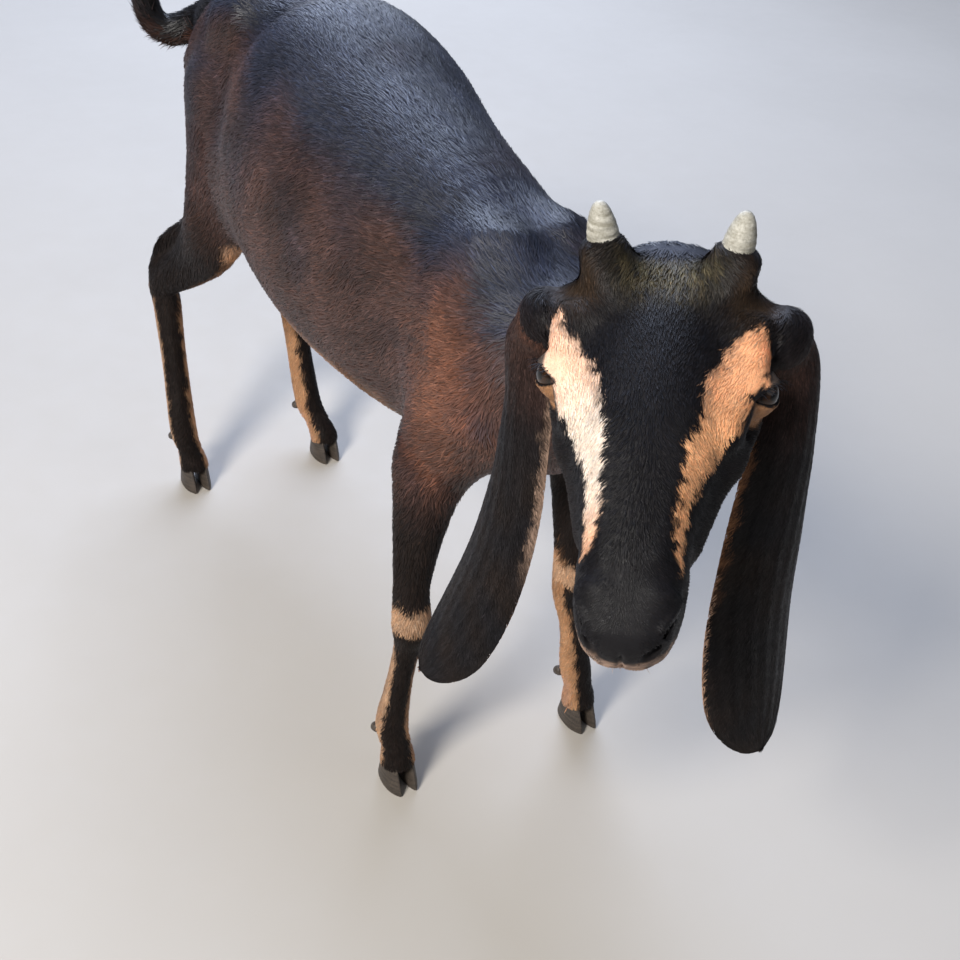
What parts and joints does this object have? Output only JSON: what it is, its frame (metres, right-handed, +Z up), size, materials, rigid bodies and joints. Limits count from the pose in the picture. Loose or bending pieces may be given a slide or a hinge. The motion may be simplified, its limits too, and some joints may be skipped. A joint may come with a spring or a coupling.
{
  "type": "nubian goat kid",
  "caption": "Life-size standing goat kid with long hanging ears, short horn buds, raised tail and its head turned aside and lowered.",
  "frame": {"origin": "middle of the standing box on the ground, under the belly", "axes": "+Z up, the goat faces -Y, its left side is +X"},
  "size_m": [0.2682, 0.8245, 0.5509],
  "materials": {
    "coat": "short sleek hair, near black with tan markings",
    "horn": "dull grey horn",
    "claw": "dull dark horn",
    "eye": "wet and glossy"
  },
  "bodies": {
    "root": {"torso": "coat", "neck": "coat", "tail": "coat", "ear_left": "coat", "ear_right": "coat", "claw_front_left_inner": "claw", "dewclaw_front_left_inner": "claw", "claw_front_left_outer": "claw", "dewclaw_front_left_outer": "claw", "foreleg_left": "coat", "claw_front_right_inner": "claw", "dewclaw_front_right_inner": "claw", "claw_front_right_outer": "claw", "dewclaw_front_right_outer": "claw", "foreleg_right": "coat", "claw_rear_left_inner": "claw", "dewclaw_rear_left_inner": "claw", "claw_rear_left_outer": "claw", "dewclaw_rear_left_outer": "claw", "hindleg_left": "coat", "claw_rear_right_inner": "claw", "dewclaw_rear_right_inner": "claw", "claw_rear_right_outer": "claw", "dewclaw_rear_right_outer": "claw", "hindleg_right": "coat", "head": "coat", "eye_left": "eye", "horn_left": "horn", "eye_right": "eye", "horn_right": "horn"}
  },
  "joints": []
}
